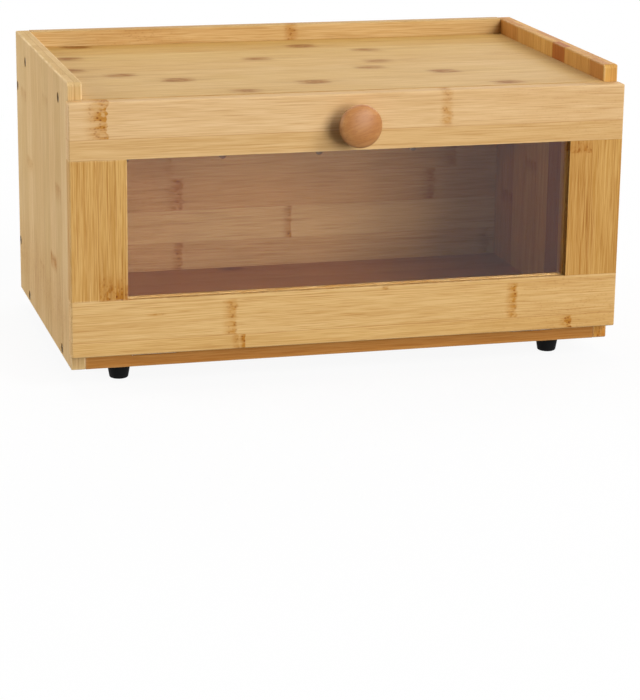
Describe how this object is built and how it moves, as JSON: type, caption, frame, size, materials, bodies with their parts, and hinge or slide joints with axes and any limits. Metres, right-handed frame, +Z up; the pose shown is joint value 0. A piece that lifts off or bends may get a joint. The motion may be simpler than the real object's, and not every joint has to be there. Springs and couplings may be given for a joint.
{
  "type": "bread box",
  "caption": "Bamboo bread box with a tray top and rubber feet, and a drop-down framed front door with a clear window, a turned wooden knob, small butt hinges and magnet catches.",
  "frame": {"origin": "on the worktop, under the middle of the whole box with its knob, which is the middle of its bounding box's base", "axes": "+X to the right as seen from the front, +Y to the back, +Z up; the door with its window faces -Y"},
  "size_m": [0.3876, 0.2626, 0.209],
  "materials": {
    "bamboo_top": "pale caramel bamboo with soft node marks, satin lacquer",
    "bamboo_side": "upright bamboo strips, satin lacquer",
    "bamboo_inside": "bamboo strips lying across, satin lacquer",
    "bamboo_rail": "pale bamboo with the grain along the rail, satin lacquer",
    "bamboo_stile": "honey bamboo with upright grain, satin lacquer",
    "knob_wood": "turned reddish-brown hardwood, lacquered",
    "clear_pane": "clear glossy acrylic sheet",
    "hinge_nickel": "bright nickel plate",
    "screw_steel": "zinc-plated steel",
    "magnet_steel": "dull plated steel",
    "foot_rubber": "matt black rubber"
  },
  "bodies": {
    "cabinet": {"left_side_panel": "bamboo_side", "right_side_panel": "bamboo_side", "back_panel": "bamboo_inside", "top_board": "bamboo_top", "bottom_board": "bamboo_inside", "left_side_screws": "screw_steel", "right_side_screws": "screw_steel", "front_left_foot": "foot_rubber", "front_right_foot": "foot_rubber", "rear_left_foot": "foot_rubber", "rear_right_foot": "foot_rubber", "foot_screws": "screw_steel", "left_magnet": "magnet_steel", "right_magnet": "magnet_steel", "left_hinge_floor_leaf": "hinge_nickel", "right_hinge_floor_leaf": "hinge_nickel", "left_hinge_pin": "hinge_nickel", "right_hinge_pin": "hinge_nickel", "hinge_floor_screws": "screw_steel"},
    "door": {"door_top_rail": "bamboo_rail", "door_bottom_rail": "bamboo_rail", "door_left_stile": "bamboo_stile", "door_right_stile": "bamboo_stile", "door_dowels": "bamboo_inside", "window_pane": "clear_pane", "knob": "knob_wood", "knob_screw": "screw_steel", "left_striker": "magnet_steel", "right_striker": "magnet_steel", "left_hinge_door_leaf": "hinge_nickel", "right_hinge_door_leaf": "hinge_nickel", "hinge_door_screws": "screw_steel"}
  },
  "joints": [
    {"name": "door_hinge", "type": "hinge", "parent": "cabinet", "child": "door", "pos_m": [0, -0.0962, 0.0224], "axis": [1, 0, 0], "range_deg": [0, 85]}
  ]
}
